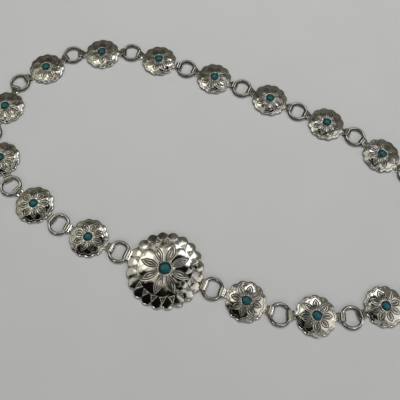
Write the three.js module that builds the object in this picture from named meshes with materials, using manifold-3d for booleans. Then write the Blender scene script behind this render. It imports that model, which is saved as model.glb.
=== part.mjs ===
// A linked concho belt, closed and laid flat in a loop: one large buckle concho and sixteen small
// ones, domed silver plates with scalloped rims, each set with a round turquoise. Folded strips
// soldered under the rims hold round wire rings between the plates. On the buckle's closing side
// the strip is left open as the hook. Millimetres, +Z up, the belt lies on z = 0.

import * as THREE from "three";
import { mergeVertices } from "three/addons/utils/BufferGeometryUtils.js";
import Module from "manifold-3d";

const wasm = await Module();
wasm.setup();

// Play left all round between two pieces that touch on the real belt
const PLAY = 0.3;

// Wire rings: radius to the middle of the wire, and radius of the wire
const RING_RADIUS = 7.4;
const WIRE_RADIUS = 1.1;
const RING_SIDES = 14;
const WIRE_SIDES = 5;

// Folded strips that hold the rings
const STRIP_THICKNESS = 0.5;
const SMALL_STRIP_WIDTH = 6;
const BUCKLE_STRIP_WIDTH = 7.6;
const STRIP_REACH = 3.4; // from the plate's edge to the middle of the ring's wire
const TAIL_LENGTH = 3.4; // what runs on under the plate
const SOLDER = 0.25; // how far the tail is sunk into the plate's underside
const HOOK_TIP = 0.1; // where the hook's free end stops, past the middle of the wire
const BEND_STEPS = 4;

// Small conchos
const SMALL_RADIUS = 15;
const SMALL_LOBES = 12;
const SMALL_LOBE_DEPTH = 1.1;
const SMALL_SHEET = 0.9;
const SMALL_RISE = 1.7;
const SMALL_SWELL = 0.3; // height of the swellings between the petals
const SMALL_STONE_RADIUS = 3.5;
const SMALL_STONE_HEIGHT = 1.8;
const SMALL_BEZEL_HEIGHT = 1;

// Buckle concho
const BUCKLE_RADIUS = 28.9;
const BUCKLE_LOBES = 20;
const BUCKLE_LOBE_DEPTH = 2.3;
const BUCKLE_SHEET = 1.1;
const BUCKLE_RISE = 3.1;
const BUCKLE_SWELL = 0.7;
const BUCKLE_BOSS = 0.3; // height of the bosses that stand in the rim's lobes
const BUCKLE_STONE_RADIUS = 4.7;
const BUCKLE_STONE_HEIGHT = 2.3;
const BUCKLE_BEZEL_HEIGHT = 1.3;

// Bezels and stones
const BEZEL_WALL = 0.35;
const BEZEL_SIDES = 12;
const PETALS = 8;

// Side view of a stone from the middle of its base to its top: shares of its radius and height
const STONE_PROFILE = [
  { out: 0, up: 0 },
  { out: 1, up: 0 },
  { out: 1, up: 0.4 },
  { out: 0.72, up: 0.82 },
  { out: 0, up: 1 },
];

// Sections of a plate from its middle outwards. out is a share of the plate's radius. scallop,
// swell and boss say how much of the lobe depth, of the swellings and of the bosses the section
// takes. top and under are the points round it on each face, 0 where that face has no such section.
const SMALL_SECTIONS = [
  { out: 0.36, scallop: 0, swell: 0, boss: 0, top: 0, under: 12 },
  { out: 0.56, scallop: 0, swell: 1, boss: 0, top: 24, under: 0 },
  { out: 0.8, scallop: 0.2, swell: 0.2, boss: 0, top: 24, under: 24 },
  { out: 1, scallop: 1, swell: 0, boss: 0, top: 48, under: 48 },
];
const BUCKLE_SECTIONS = [
  { out: 0.25, scallop: 0, swell: 0.3, boss: 0, top: 0, under: 16 },
  { out: 0.44, scallop: 0, swell: 1, boss: 0, top: 40, under: 40 },
  { out: 0.6, scallop: 0, swell: 0.8, boss: 0, top: 40, under: 0 },
  { out: 0.7, scallop: 0, swell: 0, boss: 0, top: 40, under: 40 },
  { out: 0.88, scallop: 0.2, swell: 0, boss: 1, top: 80, under: 0 },
  { out: 1, scallop: 1, swell: 0, boss: 0, top: 80, under: 80 },
];

// Way that each link points, in degrees from +X, going round the belt from the buckle
const LINK_HEADINGS = [
  161, 158, 145, 118, 73.5, 37, 5.5, -16.5, -20, -23.5, -25, -39, -72.5, -114, -160, -180, -198.5,
];

const SILVER = { color: 0xc9c7c0, roughness: 0.22, metalness: 1 };
const TURQUOISE = { color: 0x14606b, roughness: 0.3, metalness: 0 };

const SAME_POINT = 1e-4; // points nearer than this are one point
const CLOSING_PASSES = 30;

// Heights that follow from the sizes above: the plates sit on the doubled strip
const PLATE_BASE = 2 * STRIP_THICKNESS;
const WIRE_HEIGHT = STRIP_THICKNESS + PLAY + WIRE_RADIUS;

const SMALL = {
  radius: SMALL_RADIUS,
  lobes: SMALL_LOBES,
  lobeDepth: SMALL_LOBE_DEPTH,
  lobeTurn: 0, // a lobe points along the belt
  sheet: SMALL_SHEET,
  rise: SMALL_RISE,
  swell: SMALL_SWELL,
  boss: 0,
  sections: SMALL_SECTIONS,
  stoneRadius: SMALL_STONE_RADIUS,
  stoneHeight: SMALL_STONE_HEIGHT,
  bezelHeight: SMALL_BEZEL_HEIGHT,
  stripWidth: SMALL_STRIP_WIDTH,
};
const BUCKLE = {
  radius: BUCKLE_RADIUS,
  lobes: BUCKLE_LOBES,
  lobeDepth: BUCKLE_LOBE_DEPTH,
  lobeTurn: Math.PI / BUCKLE_LOBES, // the gap between two lobes points along the belt
  sheet: BUCKLE_SHEET,
  rise: BUCKLE_RISE,
  swell: BUCKLE_SWELL,
  boss: BUCKLE_BOSS,
  sections: BUCKLE_SECTIONS,
  stoneRadius: BUCKLE_STONE_RADIUS,
  stoneHeight: BUCKLE_STONE_HEIGHT,
  bezelHeight: BUCKLE_BEZEL_HEIGHT,
  stripWidth: BUCKLE_STRIP_WIDTH,
};

// 1 in the middle of a lobe and 0 between two lobes
function lobeShare(concho, angle) {
  return Math.abs(Math.cos((concho.lobes * (angle - concho.lobeTurn)) / 2));
}

// 0 along a petal and 1 halfway between two petals
function swellShare(angle) {
  return Math.abs(Math.sin((PETALS * angle) / 2));
}

// 1 at the bezel, falling to 0 at the rim as a round dome does
function domeShare(concho, out) {
  const seat = concho.stoneRadius + PLAY + BEZEL_WALL;
  const share = (concho.radius * out - seat) / (concho.radius - seat);
  return 1 - Math.max(share, 0) ** 2;
}

function sectionRadius(concho, section, angle) {
  const notch = concho.lobeDepth * section.scallop * (1 - lobeShare(concho, angle));
  return concho.radius * section.out - notch;
}

function sectionHeight(concho, section, angle) {
  return (
    PLATE_BASE +
    concho.sheet +
    concho.rise * domeShare(concho, section.out) +
    concho.swell * section.swell * (swellShare(angle) - 0.5) +
    concho.boss * section.boss * lobeShare(concho, angle)
  );
}

function edgeRadius(concho) {
  return sectionRadius(concho, { out: 1, scallop: 1 }, 0);
}

// Height of the plate's underside on its long axis, at a radius between two sections
function undersideAt(concho, radius) {
  const rows = concho.sections.filter((row) => row.under > 0);
  const outer = rows.findIndex((row) => sectionRadius(concho, row, 0) >= radius);
  const b = rows[Math.max(outer, 1)];
  const a = rows[Math.max(outer, 1) - 1];
  const ra = sectionRadius(concho, a, 0);
  const rb = sectionRadius(concho, b, 0);
  const share = (radius - ra) / (rb - ra);
  const za = sectionHeight(concho, a, 0);
  const zb = sectionHeight(concho, b, 0);
  return za + (zb - za) * share - concho.sheet;
}

// Adds a closed round of points and returns where it starts and how many it has
function addRound(points, count, radiusAt, heightAt) {
  const first = points.length / 3;
  for (let i = 0; i < count; i += 1) {
    const angle = (2 * Math.PI * i) / count;
    const r = radiusAt(angle);
    points.push(r * Math.cos(angle), r * Math.sin(angle), heightAt(angle));
  }
  return { first, count };
}

// Joins two rounds, which may have different counts, with a band of triangles
function joinRounds(faces, a, b) {
  const at = (round, i) => round.first + (i % round.count);
  let i = 0;
  let j = 0;
  while (i < a.count || j < b.count) {
    const stepB = i === a.count || (j < b.count && (j + 1) / b.count <= (i + 1) / a.count);
    if (stepB) {
      faces.push(at(a, i), at(b, j), at(b, j + 1));
      j += 1;
    } else {
      faces.push(at(a, i), at(b, j), at(a, i + 1));
      i += 1;
    }
  }
}

// A domed plate with its bezel, as rounds of points from the middle of the stone's seat over the
// top to the rim and back to the middle underneath
function plateGeometry(concho) {
  const points = [];
  const faces = [];
  const seat = PLATE_BASE + concho.sheet + concho.rise;
  const inner = concho.stoneRadius + PLAY;
  const outer = inner + BEZEL_WALL;
  const lip = seat + concho.bezelHeight;
  const flat = (radius, height) =>
    addRound(points, BEZEL_SIDES, () => radius, () => height);
  const rounds = [flat(inner, seat), flat(inner, lip), flat(outer, lip), flat(outer, seat)];
  for (const row of concho.sections.filter((section) => section.top > 0)) {
    const radiusAt = (angle) => sectionRadius(concho, row, angle);
    rounds.push(addRound(points, row.top, radiusAt, (angle) => sectionHeight(concho, row, angle)));
  }
  for (const row of concho.sections.filter((section) => section.under > 0).reverse()) {
    const radiusAt = (angle) => sectionRadius(concho, row, angle);
    const heightAt = (angle) => sectionHeight(concho, row, angle) - concho.sheet;
    rounds.push(addRound(points, row.under, radiusAt, heightAt));
  }
  const top = addRound(points, 1, () => 0, () => seat);
  const bottom = addRound(points, 1, () => 0, () => seat - concho.sheet);
  const first = rounds[0];
  const last = rounds[rounds.length - 1];
  for (let i = 0; i < first.count; i += 1) {
    faces.push(top.first, first.first + i, first.first + ((i + 1) % first.count));
  }
  for (let i = 1; i < rounds.length; i += 1) {
    joinRounds(faces, rounds[i - 1], rounds[i]);
  }
  for (let i = 0; i < last.count; i += 1) {
    faces.push(last.first + i, bottom.first, last.first + ((i + 1) % last.count));
  }
  const geometry = new THREE.BufferGeometry();
  geometry.setAttribute("position", new THREE.Float32BufferAttribute(points, 3));
  geometry.setIndex(faces);
  return geometry;
}

// Side view of a strip. x runs from the middle of the ring's wire towards the plate and y is
// height. The sloping leg touches the play round the wire and ends at the plate's edge.
function stripSideView(concho) {
  const hold = WIRE_RADIUS + PLAY;
  // the ring curves away from the strip's middle, so the bend stands back by that much
  const halfWidth = concho.stripWidth / 2;
  const sag = RING_RADIUS - Math.sqrt(RING_RADIUS ** 2 - halfWidth ** 2);
  const bendX = -sag - WIRE_RADIUS * (RING_RADIUS / (RING_RADIUS - sag) - 1);
  const topY = WIRE_HEIGHT + hold + STRIP_THICKNESS;
  const edge = new THREE.Vector2(STRIP_REACH, PLATE_BASE + SOLDER);
  const toEdge = edge.clone().sub(new THREE.Vector2(0, WIRE_HEIGHT));
  const tilt = toEdge.angle() + Math.acos((hold + STRIP_THICKNESS) / toEdge.length());
  const legX = (radius, height) =>
    (radius - (height - WIRE_HEIGHT) * Math.sin(tilt)) / Math.cos(tilt);
  const tailX = STRIP_REACH + TAIL_LENGTH;
  const tailY = undersideAt(concho, edgeRadius(concho) - TAIL_LENGTH) + SOLDER;
  return { hold, bendX, topY, edge, legX, tailX, tailY };
}

function bendPoints(bendX, radius) {
  const points = [];
  for (let i = 0; i <= BEND_STEPS; i += 1) {
    const angle = -Math.PI / 2 - (Math.PI * i) / BEND_STEPS;
    points.push(
      new THREE.Vector2(bendX + radius * Math.cos(angle), WIRE_HEIGHT + radius * Math.sin(angle)),
    );
  }
  return points;
}

// Closed loop of strip, folded round the wire, its two ends soldered together under the plate
function loopShape(concho) {
  const s = stripSideView(concho);
  const shape = new THREE.Shape([
    ...bendPoints(s.bendX, s.hold + STRIP_THICKNESS),
    new THREE.Vector2(s.legX(s.hold + STRIP_THICKNESS, s.topY), s.topY),
    s.edge,
    new THREE.Vector2(s.tailX, s.tailY),
    new THREE.Vector2(s.tailX, s.tailY - 2 * STRIP_THICKNESS),
    new THREE.Vector2(STRIP_REACH + STRIP_THICKNESS, 0),
  ]);
  shape.holes.push(
    new THREE.Path([
      new THREE.Vector2(s.legX(s.hold, STRIP_THICKNESS), STRIP_THICKNESS),
      new THREE.Vector2(s.legX(s.hold, s.topY - STRIP_THICKNESS), s.topY - STRIP_THICKNESS),
      ...bendPoints(s.bendX, s.hold).reverse(),
    ]),
  );
  return shape;
}

// The same strip left open below the wire, so that the ring slips in
function hookShape(concho) {
  const s = stripSideView(concho);
  const tailUnder = s.edge.y - STRIP_THICKNESS;
  return new THREE.Shape([
    new THREE.Vector2(HOOK_TIP, 0),
    ...bendPoints(s.bendX, s.hold + STRIP_THICKNESS),
    new THREE.Vector2(s.legX(s.hold + STRIP_THICKNESS, s.topY), s.topY),
    s.edge,
    new THREE.Vector2(s.tailX, s.tailY),
    new THREE.Vector2(s.tailX, s.tailY - STRIP_THICKNESS),
    new THREE.Vector2(s.legX(s.hold, tailUnder), tailUnder),
    new THREE.Vector2(s.legX(s.hold, s.topY - STRIP_THICKNESS), s.topY - STRIP_THICKNESS),
    ...bendPoints(s.bendX, s.hold).reverse(),
    new THREE.Vector2(HOOK_TIP, STRIP_THICKNESS),
  ]);
}

// Stands a strip's side view up at the end of the plate's long axis: side is 1 or -1
function stripGeometry(concho, shape, side) {
  const depth = concho.stripWidth;
  const geometry = new THREE.ExtrudeGeometry(shape, { depth, bevelEnabled: false });
  geometry.translate(0, 0, -depth / 2);
  geometry.rotateX(Math.PI / 2);
  geometry.rotateZ(side > 0 ? Math.PI : 0);
  geometry.translate(side * (edgeRadius(concho) + STRIP_REACH), 0, 0);
  return geometry;
}

function toSolid(geometry) {
  const bare = geometry.clone();
  bare.deleteAttribute("normal");
  bare.deleteAttribute("uv");
  const merged = mergeVertices(bare, SAME_POINT);
  return new wasm.Manifold(
    new wasm.Mesh({
      numProp: 3,
      vertProperties: new Float32Array(merged.attributes.position.array),
      triVerts: new Uint32Array(merged.index.array),
    }),
  );
}

function toGeometry(solid) {
  const mesh = solid.getMesh();
  const geometry = new THREE.BufferGeometry();
  geometry.setAttribute("position", new THREE.BufferAttribute(mesh.vertProperties, 3));
  geometry.setIndex(new THREE.BufferAttribute(mesh.triVerts, 1));
  return geometry;
}

// A concho is one soldered piece: plate, bezel and the strip at each end
function conchoGeometry(concho, hooked) {
  const backShape = hooked ? hookShape(concho) : loopShape(concho);
  const plate = toSolid(plateGeometry(concho));
  const front = toSolid(stripGeometry(concho, loopShape(concho), 1));
  const back = toSolid(stripGeometry(concho, backShape, -1));
  return toGeometry(plate.add(front).add(back));
}

// A cabochon: flat base, short girdle and a low dome
function stoneGeometry(concho) {
  const profile = STONE_PROFILE.map(
    (row) => new THREE.Vector2(concho.stoneRadius * row.out, concho.stoneHeight * row.up),
  );
  const geometry = new THREE.LatheGeometry(profile, BEZEL_SIDES);
  geometry.rotateX(Math.PI / 2);
  geometry.rotateZ(Math.PI / 2);
  geometry.translate(0, 0, PLATE_BASE + concho.sheet + concho.rise + PLAY);
  return geometry;
}

function ringGeometry() {
  const geometry = new THREE.TorusGeometry(RING_RADIUS, WIRE_RADIUS, WIRE_SIDES, RING_SIDES);
  geometry.translate(0, 0, WIRE_HEIGHT);
  return geometry;
}

// Turns the headings by the least that closes the loop for these link lengths
function closedHeadings(lengths) {
  const headings = LINK_HEADINGS.map((degrees) => THREE.MathUtils.degToRad(degrees));
  for (let pass = 0; pass < CLOSING_PASSES; pass += 1) {
    const x = lengths.map((length, i) => length * Math.cos(headings[i]));
    const y = lengths.map((length, i) => length * Math.sin(headings[i]));
    const sum = (values) => values.reduce((total, value) => total + value, 0);
    const gapX = sum(x);
    const gapY = sum(y);
    const yy = sum(y.map((value) => value * value));
    const xx = sum(x.map((value) => value * value));
    const xy = sum(x.map((value, i) => value * y[i]));
    const scale = xx * yy - xy * xy;
    const a = (xx * gapX + xy * gapY) / scale;
    const b = (xy * gapX + yy * gapY) / scale;
    headings.forEach((heading, i) => {
      headings[i] = heading + a * y[i] - b * x[i];
    });
  }
  return headings;
}

function namedMesh(name, geometry, finish) {
  const mesh = new THREE.Mesh(geometry, new THREE.MeshStandardMaterial(finish));
  mesh.name = name;
  return mesh;
}

const belt = new THREE.Group();
const links = LINK_HEADINGS.map((heading, i) => (i === 0 ? BUCKLE : SMALL));
const lengths = links.map((concho) => 2 * (edgeRadius(concho) + STRIP_REACH + RING_RADIUS));
const headings = closedHeadings(lengths);
const shapes = new Map([
  [SMALL, { metal: conchoGeometry(SMALL, false), stone: stoneGeometry(SMALL) }],
  [BUCKLE, { metal: conchoGeometry(BUCKLE, true), stone: stoneGeometry(BUCKLE) }],
]);
const ringShape = ringGeometry();
const corner = new THREE.Vector2(0, 0);
links.forEach((concho, i) => {
  const along = new THREE.Vector2(Math.cos(headings[i]), Math.sin(headings[i]));
  const middle = corner.clone().addScaledVector(along, lengths[i] / 2);
  corner.addScaledVector(along, lengths[i]);
  const number = String(i).padStart(2, "0");
  const link = new THREE.Group();
  link.position.set(middle.x, middle.y, 0);
  link.rotation.z = headings[i];
  const { metal, stone } = shapes.get(concho);
  const metalName = concho === BUCKLE ? "buckle_concho" : `concho_${number}`;
  const stoneName = concho === BUCKLE ? "buckle_stone" : `stone_${number}`;
  link.add(namedMesh(metalName, metal, SILVER));
  link.add(namedMesh(stoneName, stone, TURQUOISE));
  belt.add(link);
  const ring = namedMesh(`ring_${String(i + 1).padStart(2, "0")}`, ringShape, SILVER);
  ring.position.set(corner.x, corner.y, 0);
  ring.rotation.z = headings[i];
  belt.add(ring);
});

// The origin is the middle of the loop's outline, on the surface that it lies on
belt.updateMatrixWorld(true);
const outline = new THREE.Box3().setFromObject(belt, true);
const middle = outline.getCenter(new THREE.Vector3());
belt.position.set(-middle.x, -middle.y, -outline.min.z);

export default belt;
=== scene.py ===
"""Linked concho belt of stamped silver and turquoise, laid in a closed loop on a pale table.

A link is shaped round its own middle, in millimetres, with the belt running along its X axis.
It is then turned and moved to its place in the loop, in metres.
"""

import math
from dataclasses import dataclass

import bpy
import numpy as np
from mathutils import Matrix, Vector

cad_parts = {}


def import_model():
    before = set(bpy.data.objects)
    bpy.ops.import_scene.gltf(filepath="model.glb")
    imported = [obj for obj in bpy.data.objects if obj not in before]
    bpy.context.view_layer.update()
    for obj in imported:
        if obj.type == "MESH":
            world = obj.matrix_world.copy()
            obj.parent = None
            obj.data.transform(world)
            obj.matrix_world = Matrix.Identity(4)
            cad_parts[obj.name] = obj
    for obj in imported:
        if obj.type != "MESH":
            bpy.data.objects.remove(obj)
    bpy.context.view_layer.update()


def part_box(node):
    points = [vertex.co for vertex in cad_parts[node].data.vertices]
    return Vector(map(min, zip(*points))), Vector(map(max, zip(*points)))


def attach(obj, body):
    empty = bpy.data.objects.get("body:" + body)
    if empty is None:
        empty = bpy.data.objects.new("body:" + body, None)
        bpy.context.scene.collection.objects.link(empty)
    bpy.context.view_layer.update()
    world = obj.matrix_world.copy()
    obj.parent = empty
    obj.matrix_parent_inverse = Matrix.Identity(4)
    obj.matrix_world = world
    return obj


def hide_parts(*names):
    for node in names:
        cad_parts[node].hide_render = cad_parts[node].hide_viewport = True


MM = 0.001

# Sizes, in millimetres

SMALL_COUNT = 16
PETALS = 8
PLAY = 0.3  # between pieces that move or fit in one another
RING_RADIUS = 7.4  # to the middle of the wire
WIRE_RADIUS = 1.1
STRIP_THICKNESS = 0.5
STRIP_REACH = 3.4  # from the middle of the wire to the plate's rim
STRIP_EASE = 0.12  # off the strip's long corners
TAIL_LENGTH = 3.4  # of the strip's tail, under the plate
SOLDER = 0.25  # how far the strip is sunk into the plate
HOOK_TIP = 0.1  # from the middle of the wire to the hook's open end
RIDGE_PITCH = 2.0
RIDGE_HEIGHT = 0.36
BEZEL_WALL = 0.35
PLATE_BASE = 2 * STRIP_THICKNESS
WIRE_HEIGHT = STRIP_THICKNESS + PLAY + WIRE_RADIUS


@dataclass
class Leaf:
    """A pointed leaf along the middle of each petal, and the line struck along its edge."""

    start: float  # from the plate's middle, as are all places on a plate
    end: float
    half_width: float
    line_start: float
    line_end: float
    line_width: float


@dataclass
class Swelling:
    """A drop-shaped swelling between each two petals."""

    start: float
    end: float
    half_width: float
    height: float


@dataclass
class Boss:
    """A shallow round boss in each lobe of the rim."""

    out: float
    radius: float
    height: float


@dataclass
class Concho:
    """Sizes of one kind of plate."""

    radius: float
    lobes: int
    notch: float  # depth between two lobes of the rim
    turn: float  # angle of the first lobe from the belt's line
    sheet: float
    rise: float
    stone_radius: float
    stone_height: float
    bezel_height: float
    strip_width: float
    bezel_teeth: int
    petal: Leaf
    slit: Leaf
    swelling: Swelling
    boss: Boss
    around: int  # points round the plate
    outward: int  # rounds from the bezel to the rim
    inward: int  # rounds back to the middle, underneath

    @property
    def seat_radius(self):
        return self.stone_radius + PLAY + BEZEL_WALL

    @property
    def seat_height(self):
        return PLATE_BASE + self.sheet + self.rise


SMALL = Concho(
    radius=15,
    lobes=12,
    notch=1.1,
    turn=0,
    sheet=0.9,
    rise=1.7,
    stone_radius=3.5,
    stone_height=1.8,
    bezel_height=1,
    strip_width=6,
    bezel_teeth=22,
    petal=Leaf(start=4.2, end=11.4, half_width=2.0, line_start=0, line_end=11.6, line_width=0.38),
    slit=Leaf(start=5.6, end=9.6, half_width=0.5, line_start=5.2, line_end=9.9, line_width=0.36),
    swelling=Swelling(start=4.4, end=11.2, half_width=2.9, height=0.14),
    boss=Boss(out=13.9, radius=1.9, height=0.1),
    around=240,
    outward=70,
    inward=11,
)
BUCKLE = Concho(
    radius=28.9,
    lobes=20,
    notch=2.3,
    turn=math.pi / 20,
    sheet=1.1,
    rise=3.1,
    stone_radius=4.7,
    stone_height=2.3,
    bezel_height=1.3,
    strip_width=7.6,
    bezel_teeth=26,
    petal=Leaf(start=5.4, end=18.8, half_width=2.5, line_start=0, line_end=19.2, line_width=0.3),
    slit=Leaf(start=7.4, end=16.4, half_width=1.0, line_start=6.8, line_end=17.0, line_width=0.28),
    swelling=Swelling(start=6.0, end=20.2, half_width=5.6, height=0.24),
    boss=Boss(out=25.2, radius=3.5, height=0.1),
    around=400,
    outward=130,
    inward=24,
)

# Nodes


def linear(hex_colour):
    """An sRGB hex colour as the linear RGBA that Blender's sockets hold."""
    channels = [int(hex_colour[i : i + 2], 16) / 255 for i in (1, 3, 5)]
    return [c / 12.92 if c <= 0.04045 else ((c + 0.055) / 1.055) ** 2.4 for c in channels] + [1]


def add(tree, kind, settings=None, inputs=None):
    """Adds a node, with its settings, and its inputs as values or as links from other sockets."""
    node = tree.nodes.new(kind)
    for name, value in (settings or {}).items():
        setattr(node, name, value)
    for name, value in (inputs or {}).items():
        if isinstance(value, bpy.types.NodeSocket):
            tree.links.new(value, node.inputs[name])
        else:
            node.inputs[name].default_value = value
    return node


def shape_tree(name, sizes):
    """A Geometry Nodes tree with a geometry in and out, and one input for each size."""
    tree = bpy.data.node_groups.new(name, "GeometryNodeTree")
    tree.interface.new_socket("Geometry", in_out="INPUT", socket_type="NodeSocketGeometry")
    for label, kind in sizes:
        tree.interface.new_socket(label, in_out="INPUT", socket_type=kind)
    tree.interface.new_socket("Geometry", in_out="OUTPUT", socket_type="NodeSocketGeometry")
    return tree, add(tree, "NodeGroupInput").outputs


def finish_tree(tree, geometry, material):
    """Ends a shape tree in real, smooth geometry of one material."""
    real = add(tree, "GeometryNodeRealizeInstances", inputs={"Geometry": geometry})
    smooth = add(tree, "GeometryNodeSetShadeSmooth", inputs={"Geometry": real.outputs["Geometry"]})
    finished = add(
        tree,
        "GeometryNodeSetMaterial",
        inputs={"Geometry": smooth.outputs["Geometry"], "Material": material},
    )
    add(tree, "NodeGroupOutput", inputs={"Geometry": finished.outputs["Geometry"]})


# Materials

# Sockets of a Mix node of colours. It has several of each name, so they go by number.
FACTOR, FIRST, SECOND, MIXED = 0, 6, 7, 2


def new_material(name):
    material = bpy.data.materials.new(name)
    material.use_nodes = True
    material.node_tree.nodes.clear()
    return material, material.node_tree


def surface(tree, inputs):
    shader = add(tree, "ShaderNodeBsdfPrincipled", inputs=inputs)
    add(tree, "ShaderNodeOutputMaterial", inputs={"Surface": shader.outputs["BSDF"]})
    return shader


def stamped_silver():
    """Sterling silver sheet and wire, hand-stamped and buffed. The buffing leaves the high parts
    bright with a faint haze and fine scratches, and dark, duller oxide stays in the stamped lines."""
    material, tree = new_material("stamped sterling silver, buffed over oxide")
    place = add(tree, "ShaderNodeTexCoord").outputs["Object"]
    stamped = add(tree, "ShaderNodeAttribute", {"attribute_name": "stamped"}).outputs["Fac"]
    # patches of haze about 5 mm across
    haze = add(tree, "ShaderNodeTexNoise", inputs={"Vector": place, "Scale": 1 / (5 * MM), "Detail": 3})
    # buffing scratches, drawn 0.3 mm apart, since the real ones are too fine to show
    scratch = add(
        tree, "ShaderNodeTexNoise", inputs={"Vector": place, "Scale": 1 / (0.3 * MM), "Detail": 2}
    )
    oxide = add(
        tree,
        "ShaderNodeMapRange",
        inputs={"Value": stamped, "From Min": 0.1, "From Max": 1, "To Min": 0, "To Max": 0.94},
    )
    warmth = add(
        tree,
        "ShaderNodeMix",
        {"data_type": "RGBA"},
        {FACTOR: haze.outputs["Fac"], FIRST: linear("#DEDDD9"), SECOND: linear("#D3D0C8")},
    )
    colour = add(
        tree,
        "ShaderNodeMix",
        {"data_type": "RGBA"},
        {FACTOR: oxide.outputs["Result"], FIRST: warmth.outputs[MIXED], SECOND: linear("#37332C")},
    )
    gloss = add(
        tree,
        "ShaderNodeMapRange",
        inputs={
            "Value": haze.outputs["Fac"],
            "From Min": 0.3,
            "From Max": 0.7,
            "To Min": 0.05,
            "To Max": 0.13,
        },
    )
    roughness = add(
        tree,
        "ShaderNodeMath",
        {"operation": "MULTIPLY_ADD", "use_clamp": True},
        {0: stamped, 1: 0.25, 2: gloss.outputs["Result"]},
    )
    scratched = add(
        tree,
        "ShaderNodeBump",
        inputs={"Strength": 0.25, "Distance": 0.02 * MM, "Height": scratch.outputs["Fac"]},
    )
    # dents of planishing and wear about 3 mm across
    dent = add(
        tree, "ShaderNodeTexNoise", inputs={"Vector": place, "Scale": 1 / (3 * MM), "Detail": 0}
    )
    bump = add(
        tree,
        "ShaderNodeBump",
        inputs={
            "Distance": 0.08 * MM,
            "Height": dent.outputs["Fac"],
            "Normal": scratched.outputs["Normal"],
        },
    )
    surface(
        tree,
        {
            "Base Color": colour.outputs[MIXED],
            "Metallic": 1,
            "Roughness": roughness.outputs["Value"],
            "Normal": bump.outputs["Normal"],
        },
    )
    return material


def polished_turquoise():
    """Turquoise cut as a cabochon and polished: a deep blue that goes green in clouds, crossed by thin
    dark veins of the host rock, under a waxy gloss, with painted shade darkening it towards the edge."""
    material, tree = new_material("polished turquoise cabochon")
    place = add(tree, "ShaderNodeTexCoord").outputs["Object"]
    # painted shade: how far a stone is darkened towards its edge, read from the stamped attribute
    edge = add(tree, "ShaderNodeAttribute", {"attribute_name": "stamped"}).outputs["Fac"]
    # clouds of green about 3 mm across
    cloud = add(tree, "ShaderNodeTexNoise", inputs={"Vector": place, "Scale": 1 / (3 * MM), "Detail": 4})
    # host rock between grains about 2.5 mm across
    grain = add(
        tree,
        "ShaderNodeTexVoronoi",
        {"feature": "DISTANCE_TO_EDGE"},
        {"Vector": place, "Scale": 1 / (2.5 * MM)},
    )
    green = add(
        tree,
        "ShaderNodeMapRange",
        inputs={"Value": cloud.outputs["Fac"], "From Min": 0.38, "From Max": 0.6},
    )
    body = add(
        tree,
        "ShaderNodeMix",
        {"data_type": "RGBA"},
        {FACTOR: green.outputs["Result"], FIRST: linear("#05566C"), SECOND: linear("#065248")},
    )
    # painted shade, nearly black, towards the stone's edge
    rim = add(
        tree,
        "ShaderNodeMix",
        {"data_type": "RGBA"},
        {FACTOR: edge, FIRST: body.outputs[MIXED], SECOND: linear("#03191C")},
    )
    vein = add(
        tree,
        "ShaderNodeMapRange",
        inputs={
            "Value": grain.outputs["Distance"],
            "From Min": 0,
            "From Max": 0.035,
            "To Min": 0.6,
            "To Max": 0,
        },
    )
    colour = add(
        tree,
        "ShaderNodeMix",
        {"data_type": "RGBA"},
        {FACTOR: vein.outputs["Result"], FIRST: rim.outputs[MIXED], SECOND: linear("#1B2520")},
    )
    gloss = add(
        tree,
        "ShaderNodeMapRange",
        inputs={
            "Value": cloud.outputs["Fac"],
            "From Min": 0.3,
            "From Max": 0.7,
            "To Min": 0.2,
            "To Max": 0.32,
        },
    )
    bump = add(
        tree,
        "ShaderNodeBump",
        inputs={"Strength": 0.15, "Distance": 0.05 * MM, "Height": cloud.outputs["Fac"]},
    )
    surface(
        tree,
        {
            "Base Color": colour.outputs[MIXED],
            "Roughness": gloss.outputs["Result"],
            "IOR": 1.5,
            "Normal": bump.outputs["Normal"],
        },
    )
    return material


def pale_table():
    """Matt painted board: an even pale grey with a barely visible mottle."""
    material, tree = new_material("matt pale grey board")
    place = add(tree, "ShaderNodeTexCoord").outputs["Object"]
    mottle = add(tree, "ShaderNodeTexNoise", inputs={"Vector": place, "Scale": 1 / (60 * MM), "Detail": 2})
    colour = add(
        tree,
        "ShaderNodeMix",
        {"data_type": "RGBA"},
        {FACTOR: mottle.outputs["Fac"], FIRST: linear("#B4B5B6"), SECOND: linear("#BABBBC")},
    )
    surface(tree, {"Base Color": colour.outputs[MIXED], "Roughness": 0.75})
    return material


# Shapes


@dataclass
class Shape:
    """Points in millimetres, faces by point number, and how dark each point is: oxide on the silver,
    tarnish and painted shade on a ring's flanks, painted shade in a strip's bend under the wire, and
    painted shade towards the edge on a stone. 0 is bright and 1 is darkest."""

    points: np.ndarray
    faces: list
    stamped: np.ndarray


def joined(shapes):
    faces = []
    start = 0
    for shape in shapes:
        faces += [tuple(start + i for i in face) for face in shape.faces]
        start += len(shape.points)
    points = np.vstack([shape.points for shape in shapes])
    return Shape(points, faces, np.concatenate([shape.stamped for shape in shapes]))


def moved(shape, place=(0, 0, 0), turn=0.0):
    matrix = np.array(Matrix.Rotation(turn, 3, "Z"))
    return Shape(shape.points @ matrix.T + np.array(place), shape.faces, shape.stamped)


def from_rounds(rounds, stamped):
    """A closed skin over rounds of points, from the top's middle outwards and back below. Each runs
    anticlockwise seen from above. The first and last are closed with a point in their middle."""
    count, around = len(rounds), len(rounds[0])
    first, last = rounds[0].mean(0), rounds[-1].mean(0)
    points = np.vstack([np.reshape(rounds, (-1, 3)), [first, last]])
    stamped = np.concatenate([np.ravel(stamped), [0, 0]])
    top, bottom = count * around, count * around + 1
    faces = []
    for i in range(around):
        j = (i + 1) % around
        faces.append((top, i, j))
        for k in range(count - 1):
            a, b = k * around, (k + 1) * around
            faces.append((a + i, b + i, b + j, a + j))
        a = (count - 1) * around
        faces.append((bottom, a + j, a + i))
    return Shape(points, faces, stamped)


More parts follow.
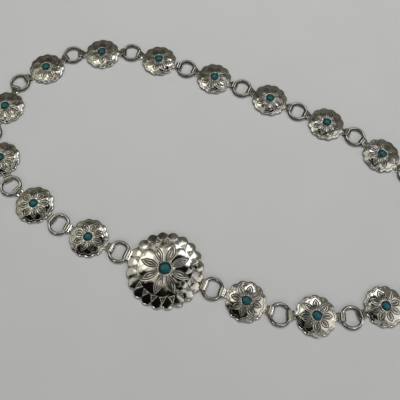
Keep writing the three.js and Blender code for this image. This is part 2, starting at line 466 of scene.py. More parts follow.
def turned(profile, around):
    """A profile of (radius, height) from the middle of the top outwards, turned into a closed skin."""
    angle = np.arange(around) * 2 * math.pi / around
    rounds = [
        np.stack([r * np.cos(angle), r * np.sin(angle), np.full(around, z)], 1) for r, z in profile
    ]
    return from_rounds(rounds, np.zeros((len(profile), around)))


def grown(tree, sizes, points=((0, 0, 0),)):
    """The mesh that a shape tree makes from points and sizes."""
    seed = bpy.data.meshes.new("seed")
    seed.from_pydata(points, [], [])
    holder = bpy.data.objects.new("holder", seed)
    bpy.context.scene.collection.objects.link(holder)
    modifier = holder.modifiers.new("shape", "NODES")
    modifier.node_group = tree
    for item in tree.interface.items_tree:
        if item.in_out == "INPUT" and item.name in sizes:
            modifier[item.identifier] = sizes[item.name]
    graph = bpy.context.evaluated_depsgraph_get()
    mesh = bpy.data.meshes.new_from_object(holder.evaluated_get(graph))
    shape = Shape(
        np.array([v.co for v in mesh.vertices]),
        [tuple(p.vertices) for p in mesh.polygons],
        np.zeros(len(mesh.vertices)),
    )
    bpy.data.objects.remove(holder)
    bpy.data.meshes.remove(mesh)
    bpy.data.meshes.remove(seed)
    return shape


# Stamped plates

# Marks on the small plates, in millimetres. An inset is from the rim.
RAY_COUNT = 24
RAY_WIDTH = 0.2
RAY_FADE = 6.0  # the rays fade out from this radius to the next
RAY_END = 7.4
RAY_GAP = 0.3  # between a ray and a petal's edge
BORDER_INSET = 1.95
BORDER_WIDTH = 0.24
FRINGE_INSET = 0.95
FRINGE_LENGTH = 0.45
FRINGE_PITCH = 1.2
FRINGE_WIDTH = 0.2
FRINGE_REACH = 2.6  # to either side of a lobe's middle
SMALL_NOTCH_WIDTH = 0.4
SMALL_NOTCH_FADE = 1.6  # the notches' marks come in from this inset to the next
SMALL_NOTCH_FULL = 0.4

# Marks on the buckle, in millimetres. Its triangles point outwards between the lobes.
TRIANGLE_FOOT = 20.4
TRIANGLE_TIP = 25.4
TRIANGLE_HALF_WIDTH = 2.3
TRIANGLE_SHIFT = 0.2  # of its sunk floor, towards the rim
TRIANGLE_WALL = (0.1, -0.35)  # top and foot of the sunk floor's wall, outside the side
BUCKLE_NOTCH_WIDTH = 0.5
BUCKLE_NOTCH_FADE = 25.0  # the notches' marks come in from this radius to the next
BUCKLE_NOTCH_FULL = 26.4
PILLOW_HEIGHT = 0.16  # of the swelling inside a petal's inner leaf
PILLOW_FULLNESS = 0.8
GRAIN_RADIUS = 0.42
GRAIN_FOOT = 20.5
GRAIN_HALF_WIDTH = 2.25
GRAIN_STEPS = 5  # along each side of a triangle
GRAIN_RISE = 0.82  # outwards, for each step
GRAIN_CLOSING = 0.41  # towards the triangle's middle, for each step
GRAIN_MIDDLE = 21.9  # radius of the lone grain inside

# Form of the sheet
SEAT_EASE = 0.6  # from the bezel to the full height of the marks
RIM_ROLL = 0.2  # how far the rim is rolled down, over the next width
RIM_ROLL_WIDTH = 0.35
RIM_BULGE = 0.02
RIM_SHARE = 0.3  # height of the bulge, as a share of the sheet
OXIDE_SPREAD = 1.7  # how far oxide goes up the sides of a mark
UNDERSIDE_OXIDE = 0.25


def smoothstep(low, high, x):
    t = np.clip((x - low) / (high - low), 0, 1)
    return t * t * (3 - 2 * t)


def line(distance, width):
    """Section of a line struck by a stamp: 1 in its middle, next to nothing two widths away."""
    return np.exp(-((distance / width) ** 2))


def off_axis(angle, count, turn=0.0):
    """Angle from the nearest of count directions spread evenly round a plate."""
    step = 2 * math.pi / count
    return (angle - turn + step / 2) % step - step / 2


def across_lobe(concho, radius, angle):
    """Distance along the rim from the middle of the nearest lobe."""
    return off_axis(angle, concho.lobes, concho.turn) * radius


def across_notch(concho, radius, angle):
    """Distance along the rim from the nearest notch between two lobes."""
    return off_axis(angle, concho.lobes, concho.turn + math.pi / concho.lobes) * radius


def edge_radius(concho, angle):
    lobe = np.abs(np.cos(concho.lobes * (angle - concho.turn) / 2))
    return concho.radius - concho.notch * (1 - lobe)


def dome_height(concho, radius):
    """Height of the bare dome over the rim: full under the bezel, then round down to the rim."""
    share = (radius - concho.seat_radius) / (concho.radius - concho.seat_radius)
    return concho.rise * (1 - np.clip(share, 0, 1) ** 2)


def teardrops(swelling, radius, angle):
    """Height of the smooth swellings between the petals, with their round front towards the rim."""
    share = np.clip((radius - swelling.start) / (swelling.end - swelling.start), 0, 1)
    fullness = np.sqrt(share * (1 - share**5))
    across = off_axis(angle, PETALS, math.pi / PETALS) * radius / swelling.half_width
    form = fullness - across**2 / np.maximum(fullness, 1e-6)
    return swelling.height * np.clip(form, 0, 1)


def bosses(concho, radius, angle):
    """Height of the shallow round bosses in the lobes of the rim."""
    boss = concho.boss
    off = (radius - boss.out) ** 2 + across_lobe(concho, radius, angle) ** 2
    return boss.height * np.clip(1 - off / boss.radius**2, 0, 1)


def pressed_form(concho, radius, angle):
    """What the dies press through the sheet, so that it shows on both sides."""
    form = teardrops(concho.swelling, radius, angle)
    return form + bosses(concho, radius, angle) if concho is BUCKLE else form


def outside(leaf, radius, angle):
    """Distance outside the leaf that lies along the nearest petal, negative inside it."""
    off = off_axis(angle, PETALS)
    share = (radius * np.cos(off) - leaf.start) / (leaf.end - leaf.start)
    return np.abs(radius * np.sin(off)) - leaf.half_width * 4 * share * (1 - share)


def outline(leaf, radius, angle):
    """The line struck along a leaf's edge."""
    struck = (radius > leaf.line_start) & (radius < leaf.line_end)
    return line(outside(leaf, radius, angle), leaf.line_width) * struck


@dataclass
class Mark:
    """One kind of mark struck by a stamp."""

    depth: float
    oxide: float  # how dark it is, up to 1
    amount: np.ndarray  # how much of its depth it has at each point


def strike(marks):
    """Depth of all marks together, and how dark they are."""
    depth = sum(mark.depth * mark.amount for mark in marks)
    darks = [mark.oxide * np.clip(OXIDE_SPREAD * mark.amount, 0, 1) for mark in marks]
    return depth, np.max(darks, axis=0)


def small_stamping(radius, angle):
    """Height that stamping gives the small plate's upper side, and how dark it is."""
    to_edge = edge_radius(SMALL, angle) - radius
    across = across_lobe(SMALL, radius, angle)
    across_ray = off_axis(angle, RAY_COUNT, math.pi / RAY_COUNT) * radius
    across_tick = (across + FRINGE_PITCH / 2) % FRINGE_PITCH - FRINGE_PITCH / 2
    rays = line(across_ray, RAY_WIDTH) * smoothstep(RAY_END, RAY_FADE, radius)
    fringe = line(across_tick, FRINGE_WIDTH) * line(to_edge - FRINGE_INSET, FRINGE_LENGTH)
    notches = line(across_notch(SMALL, radius, angle), SMALL_NOTCH_WIDTH)
    depth, dark = strike(
        [
            Mark(depth=0.1, oxide=1.0, amount=outline(SMALL.petal, radius, angle)),
            Mark(depth=0.1, oxide=1.0, amount=outline(SMALL.slit, radius, angle)),
            Mark(depth=0.07, oxide=0.8, amount=rays * (outside(SMALL.petal, radius, angle) > RAY_GAP)),
            Mark(depth=0.08, oxide=0.6, amount=line(to_edge - BORDER_INSET, BORDER_WIDTH)),
            Mark(depth=0.06, oxide=0.3, amount=fringe * (np.abs(across) < FRINGE_REACH)),
            Mark(
                depth=0.08,
                oxide=0.4,
                amount=notches * smoothstep(SMALL_NOTCH_FADE, SMALL_NOTCH_FULL, to_edge),
            ),
        ]
    )
    return bosses(SMALL, radius, angle) - depth, dark


def buckle_stamping(radius, angle):
    """Height that stamping gives the buckle plate's upper side, and how dark it is."""
    notch_distance = across_notch(BUCKLE, radius, angle)
    taper = (TRIANGLE_TIP - radius) / (TRIANGLE_TIP - TRIANGLE_FOOT)
    side = np.abs(notch_distance) - TRIANGLE_HALF_WIDTH * taper
    floor = (radius > TRIANGLE_FOOT + TRIANGLE_SHIFT) & (radius < TRIANGLE_TIP + TRIANGLE_SHIFT)
    notches = line(notch_distance, BUCKLE_NOTCH_WIDTH)
    depth, dark = strike(
        [
            Mark(depth=0.2, oxide=1.0, amount=outline(BUCKLE.petal, radius, angle)),
            Mark(depth=0.2, oxide=1.0, amount=outline(BUCKLE.slit, radius, angle)),
            Mark(depth=0.14, oxide=0.5, amount=smoothstep(*TRIANGLE_WALL, side) * floor),
            Mark(
                depth=0.2,
                oxide=0.7,
                amount=notches * smoothstep(BUCKLE_NOTCH_FADE, BUCKLE_NOTCH_FULL, radius),
            ),
        ]
    )
    inside = np.clip(-outside(BUCKLE.slit, radius, angle), 0, 1)
    return PILLOW_HEIGHT * inside**PILLOW_FULLNESS - depth, dark


def plate(concho):
    """The domed plate: over the top from the stone's seat to the rim, and back underneath."""
    angle = np.arange(concho.around) * 2 * math.pi / concho.around
    edge = edge_radius(concho, angle)
    stamping = small_stamping if concho is SMALL else buckle_stamping
    rounds, darks = [], []

    def add_round(radius, height, dark):
        """Adds a round of points. Each value is one number, or one for each angle."""
        radius, height, dark, _ = np.broadcast_arrays(radius, height, dark, angle)
        rounds.append(np.stack([radius * np.cos(angle), radius * np.sin(angle), height], 1))
        darks.append(dark)

    add_round(concho.seat_radius / 2, concho.seat_height, 0)
    for share in np.linspace(0, 1, concho.outward):
        radius = concho.seat_radius + (edge - concho.seat_radius) * share
        stamped, dark = stamping(radius, angle)
        start = smoothstep(concho.seat_radius, concho.seat_radius + SEAT_EASE, radius)
        form = dome_height(concho, radius) + start * (pressed_form(concho, radius, angle) + stamped)
        rolled = RIM_ROLL * smoothstep(RIM_ROLL_WIDTH, 0, edge - radius)
        add_round(radius, PLATE_BASE + concho.sheet + form - rolled, dark * start)
    under = PLATE_BASE + dome_height(concho, edge) + pressed_form(concho, edge, angle)
    add_round(edge + RIM_BULGE, under + RIM_SHARE * concho.sheet, 0)
    for share in np.linspace(0.99, 0.06, concho.inward):
        radius = edge * share
        form = dome_height(concho, radius) + pressed_form(concho, radius, angle)
        add_round(radius, PLATE_BASE + form, UNDERSIDE_OXIDE)
    return from_rounds(rounds, darks)


def granules(tree, silver):
    """Tiny silver grains along the sides of the buckle's triangles, and one in each."""
    pitch = 2 * GRAIN_HALF_WIDTH / GRAIN_STEPS
    pattern = [(GRAIN_FOOT, i * pitch - GRAIN_HALF_WIDTH) for i in range(GRAIN_STEPS + 1)]
    for i in range(1, GRAIN_STEPS + 1):
        half_width = GRAIN_HALF_WIDTH - i * GRAIN_CLOSING
        pattern += [(GRAIN_FOOT + i * GRAIN_RISE, side) for side in (half_width, -half_width)]
    pattern.append((GRAIN_MIDDLE, 0.0))
    spots = []
    for k in range(BUCKLE.lobes):
        middle = k * 2 * math.pi / BUCKLE.lobes
        for out, across in pattern:
            x = out * math.cos(middle) - across * math.sin(middle)
            y = out * math.sin(middle) + across * math.cos(middle)
            height = PLATE_BASE + BUCKLE.sheet + float(dome_height(BUCKLE, math.hypot(x, y)))
            spots.append((x, y, height))
    return grown(tree, {"Grain Radius": GRAIN_RADIUS, "Material": silver}, spots)


def granule_tree():
    tree, size = shape_tree(
        "granules", [("Grain Radius", "NodeSocketFloat"), ("Material", "NodeSocketMaterial")]
    )
    grain = add(
        tree, "GeometryNodeMeshIcoSphere", inputs={"Radius": size["Grain Radius"], "Subdivisions": 2}
    )
    grains = add(
        tree,
        "GeometryNodeInstanceOnPoints",
        inputs={"Points": size["Geometry"], "Instance": grain.outputs["Mesh"]},
    )
    finish_tree(tree, grains.outputs["Instances"], size["Material"])
    return tree


# Bezels, rings and stones

TOOTH_HEIGHT = 0.55
TOOTH_TIP = 0.08
TOOTH_FOOT = 0.6  # as a share of the teeth's pitch
TOOTH_FLATNESS = 0.45  # thickness as a share of the width
TOOTH_LEAN = 1.2  # radians from upright, over the stone
GIRDLE_SHARE = 0.38  # of a stone's height
STONE_AROUND = 40
STONE_CHAMFER = 0.1
STONE_SHADE_START = 0.25  # where the painted shade starts to darken a stone, as a share of its radius
STONE_SHADE_FULL = 0.95
STONE_SHADE_DARKNESS = 0.92


def bezel_tree():
    """A thin upright wall with saw teeth along its top, which are pressed over the stone."""
    tree, size = shape_tree(
        "sawtooth bezel",
        [
            ("Radius", "NodeSocketFloat"),
            ("Wall", "NodeSocketFloat"),
            ("Height", "NodeSocketFloat"),
            ("Teeth", "NodeSocketInt"),
            ("Tooth Height", "NodeSocketFloat"),
            ("Material", "NodeSocketMaterial"),
        ],
    )
    path = add(
        tree, "GeometryNodeCurvePrimitiveCircle", inputs={"Resolution": 96, "Radius": size["Radius"]}
    )
    section = add(
        tree,
        "GeometryNodeCurvePrimitiveQuadrilateral",
        inputs={"Width": size["Wall"], "Height": size["Height"]},
    )
    wall = add(
        tree,
        "GeometryNodeCurveToMesh",
        inputs={"Curve": path.outputs["Curve"], "Profile Curve": section.outputs["Curve"]},
    )
    half = add(tree, "ShaderNodeMath", {"operation": "MULTIPLY"}, {0: size["Height"], 1: 0.5})
    lift = add(tree, "ShaderNodeCombineXYZ", inputs={"Z": half.outputs["Value"]})
    standing = add(
        tree,
        "GeometryNodeTransform",
        inputs={"Geometry": wall.outputs["Mesh"], "Translation": lift.outputs["Vector"]},
    )
    places = add(
        tree, "GeometryNodeMeshCircle", inputs={"Vertices": size["Teeth"], "Radius": size["Radius"]}
    )
    pitch = add(tree, "ShaderNodeMath", {"operation": "DIVIDE"}, {0: 2 * math.pi, 1: size["Teeth"]})
    foot = add(
        tree,
        "ShaderNodeMath",
        {"operation": "MULTIPLY"},
        {0: pitch.outputs["Value"], 1: size["Radius"]},
    )
    foot_radius = add(
        tree, "ShaderNodeMath", {"operation": "MULTIPLY"}, {0: foot.outputs["Value"], 1: TOOTH_FOOT}
    )
    tooth = add(
        tree,
        "GeometryNodeMeshCone",
        inputs={
            "Vertices": 6,
            "Radius Top": TOOTH_TIP,
            "Radius Bottom": foot_radius.outputs["Value"],
            "Depth": size["Tooth Height"],
        },
    )
    order = add(tree, "GeometryNodeInputIndex")
    bearing = add(
        tree,
        "ShaderNodeMath",
        {"operation": "MULTIPLY"},
        {0: order.outputs["Index"], 1: pitch.outputs["Value"]},
    )
    facing = add(tree, "ShaderNodeCombineXYZ", inputs={"Y": -TOOTH_LEAN, "Z": bearing.outputs["Value"]})
    teeth = add(
        tree,
        "GeometryNodeInstanceOnPoints",
        inputs={
            "Points": places.outputs["Mesh"],
            "Instance": tooth.outputs["Mesh"],
            "Rotation": facing.outputs["Vector"],
            "Scale": (TOOTH_FLATNESS, 1, 1),
        },
    )
    top = add(tree, "ShaderNodeCombineXYZ", inputs={"Z": size["Height"]})
    raised = add(
        tree,
        "GeometryNodeTransform",
        inputs={"Geometry": teeth.outputs["Instances"], "Translation": top.outputs["Vector"]},
    )
    both = add(tree, "GeometryNodeJoinGeometry")
    tree.links.new(standing.outputs["Geometry"], both.inputs["Geometry"])
    tree.links.new(raised.outputs["Geometry"], both.inputs["Geometry"])
    finish_tree(tree, both.outputs["Geometry"], size["Material"])
    return tree


def wire_ring_tree():
    tree, size = shape_tree(
        "wire ring",
        [
            ("Ring Radius", "NodeSocketFloat"),
            ("Wire Radius", "NodeSocketFloat"),
            ("Material", "NodeSocketMaterial"),
        ],
    )
    path = add(
        tree, "GeometryNodeCurvePrimitiveCircle", inputs={"Resolution": 72, "Radius": size["Ring Radius"]}
    )
    section = add(
        tree, "GeometryNodeCurvePrimitiveCircle", inputs={"Resolution": 16, "Radius": size["Wire Radius"]}
    )
    wire = add(
        tree,
        "GeometryNodeCurveToMesh",
        inputs={"Curve": path.outputs["Curve"], "Profile Curve": section.outputs["Curve"]},
    )
    finish_tree(tree, wire.outputs["Mesh"], size["Material"])
    return tree


def bezel(tree, concho, silver):
    """The bezel on its seat, as the tree makes it for this size of stone."""
    collar = grown(
        tree,
        {
            "Radius": concho.stone_radius + PLAY + BEZEL_WALL / 2,
            "Wall": BEZEL_WALL,
            "Height": concho.bezel_height,
            "Teeth": concho.bezel_teeth,
            "Tooth Height": TOOTH_HEIGHT,
            "Material": silver,
        },
    )
    return moved(collar, (0, 0, concho.seat_height))


def cabochon(concho):
    """The stone: a flat base, a short upright girdle and a full, round dome."""
    base = concho.seat_height + PLAY
    girdle = GIRDLE_SHARE * concho.stone_height
    dome = concho.stone_height - girdle
    bend = np.linspace(0.06, 1, 11) * math.pi / 2
    profile = [
        (concho.stone_radius * math.sin(a), base + girdle + dome * math.cos(a)) for a in bend
    ]
    profile.append((concho.stone_radius, base + STONE_CHAMFER))
    profile.append((concho.stone_radius - STONE_CHAMFER, base))
    stone = turned(profile, STONE_AROUND)
    # painted shade, darkening the stone towards its edge
    out = np.hypot(stone.points[:, 0], stone.points[:, 1]) / concho.stone_radius
    dark = STONE_SHADE_DARKNESS * smoothstep(STONE_SHADE_START, STONE_SHADE_FULL, out)
    return Shape(stone.points, stone.faces, dark)


# Folded strips

# Stations along a strip's stretches, and how many of the bend and the slope are ridged
LEG_STATIONS = 5
BEND_STATIONS = 33
TOP_STATIONS = 16
SLOPE_STATIONS = 22
TAIL_STATIONS = 4
RIDGED_BEND = 18
RIDGED_SLOPE = 13

GROOVE_START = 0.85  # share of a ridge's height where its groove starts to darken
GROOVE_DARK = 0.55
BEND_SHADE_FULL = 1.6  # radians round the bend, from below, up to which it is painted dark all over, as painted shade where the strip turns in under the wire
BEND_SHADE_END = 2.5
OVERLAP = 0.1  # of the hook's tail and its slope


def swept(stations, width):
    """A flat strip through stations of (inner, outer, dark): two points of its side view, and how
    dark the outer one is. Its long corners are eased."""
    half = width / 2
    flat = half - STRIP_EASE
    corner = STRIP_EASE / STRIP_THICKNESS
    section = [
        (0, -flat),
        (0, flat),
        (corner, half),
        (1 - corner, half),
        (1, flat),
        (1, half / 2),
        (1, -half / 2),
        (1, -flat),
        (1 - corner, -half),
        (corner, -half),
    ]
    size = len(section)
    points, faces, stamped = [], [], []
    for inner, outer, dark in stations:
        for depth, across in section:
            x, z = inner + (outer - inner) * depth
            points.append((x, across, z))
            stamped.append(dark if depth == 1 else 0)
    for a in range(0, (len(stations) - 1) * size, size):
        for i in range(size):
            j = (i + 1) % size
            faces.append((a + i, a + size + i, a + size + j, a + j))
    faces.append(tuple(range(size)))
    faces.append(tuple(reversed(range(len(points) - size, len(points)))))
    return Shape(np.array(points), faces, np.array(stamped, float))


def straight(inner_ends, outer_ends, count):
    """Stations along a straight stretch of strip, between two (start, end) pairs of points."""
    inner, outer = np.array(inner_ends, float), np.array(outer_ends, float)
    along_inner, along_outer = inner[1] - inner[0], outer[1] - outer[0]
    shares = np.linspace(0, 1, count)
    return [(inner[0] + along_inner * t, outer[0] + along_outer * t, 0.0) for t in shares]


def ridged(stations, first, last):
    """Lifts cross ridges out of the strip between two of its stations, dark in their grooves."""
    length = 0.0
    result = stations[:first]
    previous = stations[first][1]
    for inner, outer, dark in stations[first:last]:
        length += float(np.linalg.norm(outer - previous))
        previous = outer
        ridge = math.sqrt(abs(math.sin(math.pi * length / RIDGE_PITCH)))
        normal = (outer - inner) / np.linalg.norm(outer - inner)
        groove = float(smoothstep(GROOVE_START, GROOVE_DARK, ridge))
        result.append((inner, outer + normal * RIDGE_HEIGHT * ridge, max(dark, groove)))
    return result + stations[last:]


def folded_strip(concho, hooked):
    """Strip round the ring's wire, ridged where it shows. Its x runs from the wire to the plate. It
    comes back under the wire to its own tail, or, where hooked, ends open there."""
    hold = WIRE_RADIUS + PLAY
    full = hold + STRIP_THICKNESS
    # at the strip's edges the ring curves away from the plate, and the bend is set back to clear it
    inner_ring = math.sqrt(RING_RADIUS**2 - (concho.strip_width / 2) ** 2)
    bend = inner_ring - RING_RADIUS - WIRE_RADIUS * (RING_RADIUS / inner_ring - 1)
    edge = (STRIP_REACH, PLATE_BASE + SOLDER)
    drop = edge[1] - WIRE_HEIGHT
    tilt = math.atan2(drop, edge[0]) + math.acos(full / math.hypot(edge[0], drop))

    def leg_x(radius, height):
        return (radius - (height - WIRE_HEIGHT) * math.sin(tilt)) / math.cos(tilt)

    top = WIRE_HEIGHT + full
    under_top = top - STRIP_THICKNESS
    low = edge[1] - STRIP_THICKNESS if hooked else STRIP_THICKNESS
    if hooked:
        foot, heel = (HOOK_TIP, STRIP_THICKNESS), (HOOK_TIP, 0)
    else:
        foot, heel = (leg_x(hold, low), low), (STRIP_REACH + STRIP_THICKNESS, 0)
    stations = straight((foot, (bend, STRIP_THICKNESS)), (heel, (bend, 0)), LEG_STATIONS)
    for turn in np.linspace(0, math.pi, BEND_STATIONS)[1:-1]:
        out = np.array((-math.sin(turn), -math.cos(turn)))
        middle = np.array((bend, WIRE_HEIGHT))
        # painted shade on the lower part of the bend, where the strip turns in under the wire
        bend_shade = float(smoothstep(BEND_SHADE_END, BEND_SHADE_FULL, turn))
        stations.append((middle + hold * out, middle + full * out, bend_shade))
    first = len(stations) - RIDGED_BEND
    inner_shoulder, outer_shoulder = (leg_x(hold, under_top), under_top), (leg_x(full, top), top)
    stations += straight(
        ((bend, under_top), inner_shoulder), ((bend, top), outer_shoulder), TOP_STATIONS
    )
    slope_end = (leg_x(hold, low), low)
    slope = straight((inner_shoulder, slope_end), (outer_shoulder, edge), SLOPE_STATIONS)[1:]
    last = len(stations) + RIDGED_SLOPE
    loop = swept(ridged(stations + slope, first, last), concho.strip_width)
    tail_x = STRIP_REACH + TAIL_LENGTH
    reach = float(edge_radius(concho, 0)) - TAIL_LENGTH
    tail_z = PLATE_BASE + float(dome_height(concho, reach)) + SOLDER
    if hooked:
        doubled, lower = STRIP_THICKNESS, (STRIP_REACH + OVERLAP, low - OVERLAP)
    else:
        doubled, lower = 2 * STRIP_THICKNESS, heel
    tail = straight(((tail_x, tail_z - doubled), lower), ((tail_x, tail_z), edge), TAIL_STATIONS)
    return joined([loop, swept(tail, concho.strip_width)])


def concho_metal(concho, trees, silver, hooked):
    """Plate, bezel and strips, which are soldered together."""
    parts = [plate(concho), bezel(trees["bezel"], concho, silver)]
    if concho is BUCKLE:
        parts.append(granules(trees["granules"], silver))
    end = float(edge_radius(concho, 0)) + STRIP_REACH
    parts.append(moved(folded_strip(concho, False), (end, 0, 0), math.pi))
    parts.append(moved(folded_strip(concho, hooked), (-end, 0, 0)))
    return joined(parts)


# The belt

# Waves of hand-domed sheet: radians for each millimetre along X and along Y, and radians at 0
WAVES = [(0.61, 0.37, 0.0), (-0.33, 0.71, 1.3), (0.83, -0.59, 2.1)]
WAVE_HEIGHT = 0.024
WAVES_FADE = 0.5  # heights between which the waves come in, so that the undersides stay flat
WAVES_FULL = 1.5
SHARP_ANGLE = 52  # degrees, over which an edge isn't smooth
# A ring's wire is darkened except along its top: partly tarnish that wear takes off the top, partly
# painted shade on the flanks, where the wire mirrors dark things and lies in its own shadow.
CREST_START = 0.6  # height of a point on a ring's wire, as a share of the wire's radius
CREST_FULL = 0.95
CREST_LIGHTENING = 0.85  # share of the darkening taken off along the top
RING_TURN = 0.7  # radians between one ring and the next


def middle_of(node):
    low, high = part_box(node)
    return (low + high) / 2


def hand_worked(points):
    """Slow waves less than a tenth of a millimetre high, in metres, over points in metres."""
    x, y, z = (points / MM).T
    wave = sum(np.sin(along_x * x + along_y * y + phase) for along_x, along_y, phase in WAVES)
    return WAVE_HEIGHT * MM * wave * smoothstep(WAVES_FADE, WAVES_FULL, z)


def make_piece(name, shape, place, heading, material, node, worked=False):
    """A finished piece that replaces a node. Its place is in its mesh, in metres."""
    placed = moved(shape, turn=heading)
    points = placed.points * MM + np.array([place.x, place.y, 0])
    if worked:
        points[:, 2] += hand_worked(points)
    mesh = bpy.data.meshes.new(name)
    mesh.from_pydata(points, [], placed.faces)
    # the stamped attribute holds oxide on the silver, and painted shade on the rings' flanks, the strips'
    # bends and towards the stones' edges
    mesh.attributes.new("stamped", "FLOAT", "POINT").data.foreach_set("value", placed.stamped)
    mesh.materials.append(material)
    mesh.shade_smooth()
    mesh.set_sharp_from_angle(angle=math.radians(SHARP_ANGLE))
    mesh.validate()
    piece = bpy.data.objects.new(name, mesh)
    bpy.context.scene.collection.objects.link(piece)
    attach(piece, "root")
    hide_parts(node)


def wire_ring(tree, silver):
    """A ring round its own middle, dark on its flanks and bright along its top: tarnish worn off the top,
    and painted shade on the flanks.
    """
    sizes = {"Ring Radius": RING_RADIUS, "Wire Radius": WIRE_RADIUS, "Material": silver}
    ring = grown(tree, sizes)
    # tarnish and painted shade: dark flanks, lighter along the top
    crest = smoothstep(CREST_START, CREST_FULL, ring.points[:, 2] / WIRE_RADIUS)
    return moved(Shape(ring.points, ring.faces, 1 - CREST_LIGHTENING * crest), (0, 0, WIRE_HEIGHT))


def build_belt(silver, turquoise):
    """Each ring is where the frame has it, and each plate lies halfway between two, in line."""
    trees = {"bezel": bezel_tree(), "granules": granule_tree()}
    small = concho_metal(SMALL, trees, silver, False), cabochon(SMALL)
    buckle = concho_metal(BUCKLE, trees, silver, True), cabochon(BUCKLE)
    ring = wire_ring(wire_ring_tree(), silver)
    rings = [f"ring_{i:02d}" for i in range(1, SMALL_COUNT + 2)]
    middles = [middle_of(name) for name in rings]
    for i, ring_node in enumerate(rings):
        before, after = middles[i - 1], middles[i]
        along = after - before
        heading = math.atan2(along.y, along.x)
        place = (before + after) / 2
        metal, stone = small if i else buckle
        concho_node = f"concho_{i:02d}" if i else "buckle_concho"
        stone_node = f"stone_{i:02d}" if i else "buckle_stone"
        make_piece(
            f"silver_{concho_node}", metal, place, heading, silver, concho_node, worked=True
        )
        make_piece(
            f"turquoise_{stone_node}", stone, place, heading, turquoise, stone_node
        )
        ring_heading = heading + i * RING_TURN
        make_piece(f"wire_{ring_node}", ring, after, ring_heading, silver, ring_node)


# Table, light and camera

TABLE_REACH = 2.5  # metres, as are the places and the size of the key light
KEY_PLACE = (0.1, 0.6, 1.3)
KEY_SIZE = 0.6
KEY_POWER = 13.0
CAMERA_TILT = 69.94  # degrees below the horizon
CAMERA_ROLL = -2.43
CAMERA_PLACE = (-4.45, -144.67, 330.46)  # millimetres
FOCAL_LENGTH = 447.7  # in a picture of this width
PICTURE_WIDTH = 400
SENSOR_WIDTH = 36

# What the metal mirrors, as (direction, radius and softness in degrees, colour, strength). Later
# ones lie over earlier ones.
SURROUND = [
    # the dark room, up to 26 degrees over the table
    ((0.0, 0.0, -1.0), 116, 12, "#33312B", 1.0),
    # small bright windows, which give the edges their sparks
    ((0.85, -0.15, 0.5), 5, 3, "#FFFFFF", 10.0),
    ((-0.5, -0.7, 0.5), 5, 3, "#FFFFFF", 10.0),
    ((0.45, -0.75, 0.5), 5, 3, "#FFFFFF", 10.0),
    # wide, dim soft boxes overhead
    ((0.1, -0.65, 0.75), 18, 6, "#F4F2EC", 0.6),
    ((0.1, -0.02, 0.99), 15, 6, "#B8B4A6", 0.75),
    ((0.36, 0.0, 0.93), 12, 4, "#F4F2EC", 0.75),
    ((-0.1, 0.27, 0.95), 15, 3, "#F4F0DE", 0.6),
    ((-0.5, 0.2, 0.84), 19, 5, "#F4F0DE", 0.6),
    # brighter ones, which give the buckle its streaks
    ((-0.32, 0.28, 0.88), 8, 3, "#FAF8EC", 1.7),
    ((0.2, 0.44, 0.87), 8, 3, "#FFFFFF", 2.0),
    ((0.64, -0.04, 0.77), 16, 5, "#FAF6EE", 1.0),
    # dark flags between them
    ((0.12, 0.17, 0.98), 11, 2, "#0B0C0C", 1.0),
    ((0.4, 0.24, 0.88), 5, 2, "#1E1F1F", 1.0),
    ((-0.34, -0.3, 0.9), 22, 3, "#0D0C0B", 1.0),
    ((0.02, -0.22, 0.98), 10, 2, "#12110F", 1.0),
    # the dim far wall, and its darker corner
    ((0.0, 0.88, 0.48), 27, 4, "#66645A", 1.0),
    ((-0.22, 0.66, 0.72), 9, 6, "#3E3C35", 1.0),
]
# The rest of the room
WALLS = "#6E6C61"


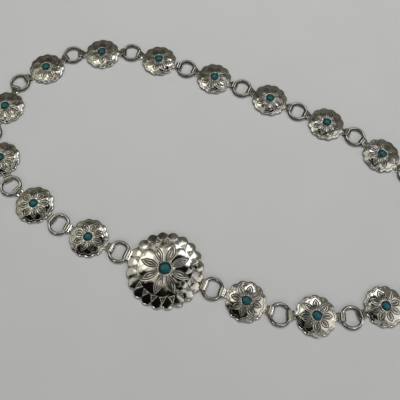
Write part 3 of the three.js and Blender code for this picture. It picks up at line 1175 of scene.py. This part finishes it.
def studio_world():
    """An olive-grey room with soft boxes, which the metal mirrors."""
    world = bpy.data.worlds.new("Studio")
    bpy.context.scene.world = world
    world.use_nodes = True
    tree = world.node_tree
    tree.nodes.clear()
    look = add(tree, "ShaderNodeTexCoord").outputs["Generated"]
    running = linear(WALLS)
    for direction, radius, softness, colour, strength in SURROUND:
        along = Vector(direction).normalized()
        facing = add(
            tree, "ShaderNodeVectorMath", {"operation": "DOT_PRODUCT"}, {0: look, 1: along}
        )
        amount = add(
            tree,
            "ShaderNodeMapRange",
            {"interpolation_type": "SMOOTHSTEP"},
            {
                "Value": facing.outputs["Value"],
                "From Min": math.cos(math.radians(radius + softness)),
                "From Max": math.cos(math.radians(max(radius - softness, 0))),
            },
        )
        glow = [c * strength for c in linear(colour)[:3]] + [1]
        running = add(
            tree,
            "ShaderNodeMix",
            {"data_type": "RGBA"},
            {FACTOR: amount.outputs["Result"], FIRST: running, SECOND: glow},
        ).outputs[MIXED]
    background = add(tree, "ShaderNodeBackground", inputs={"Color": running, "Strength": 1.0})
    add(tree, "ShaderNodeOutputWorld", inputs={"Surface": background.outputs["Background"]})


def key_light():
    """The lamp over the far side of the table. It lights the table, and the metal doesn't mirror it."""
    lamp = bpy.data.lights.new("key", "AREA")
    lamp.shape = "SQUARE"
    lamp.size = KEY_SIZE
    lamp.energy = KEY_POWER
    box = bpy.data.objects.new("key", lamp)
    box.location = KEY_PLACE
    box.rotation_euler = (-Vector(KEY_PLACE)).to_track_quat("-Z", "Y").to_euler()
    box.visible_glossy = False
    bpy.context.scene.collection.objects.link(box)


def lay_table():
    mesh = bpy.data.meshes.new("table")
    corners = [(x * TABLE_REACH, y * TABLE_REACH, 0) for x, y in ((-1, -1), (1, -1), (1, 1), (-1, 1))]
    mesh.from_pydata(corners, [], [(0, 1, 2, 3)])
    mesh.materials.append(pale_table())
    table = bpy.data.objects.new("table", mesh)
    bpy.context.scene.collection.objects.link(table)


def set_camera():
    """The photograph's view: from the near side, looking down at about 70 degrees."""
    tilt, roll = math.radians(CAMERA_TILT), math.radians(CAMERA_ROLL)
    forward = Vector((0, math.cos(tilt), -math.sin(tilt)))
    right = Vector((1, 0, 0))
    down = forward.cross(right)
    rolled_right = right * math.cos(roll) + down * math.sin(roll)
    rolled_down = down * math.cos(roll) - right * math.sin(roll)
    data = bpy.data.cameras.new("Camera")
    data.sensor_width = SENSOR_WIDTH
    data.lens = SENSOR_WIDTH * FOCAL_LENGTH / PICTURE_WIDTH
    data.clip_start = 0.01
    camera = bpy.data.objects.new("Camera", data)
    axes = Matrix((rolled_right, -rolled_down, -forward)).transposed().to_4x4()
    camera.matrix_world = Matrix.Translation(Vector(CAMERA_PLACE) * MM) @ axes
    bpy.context.scene.collection.objects.link(camera)
    bpy.context.scene.camera = camera


def main():
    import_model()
    set_camera()
    lay_table()
    studio_world()
    key_light()
    build_belt(stamped_silver(), polished_turquoise())
    bpy.context.scene.view_settings.view_transform = "Standard"


main()
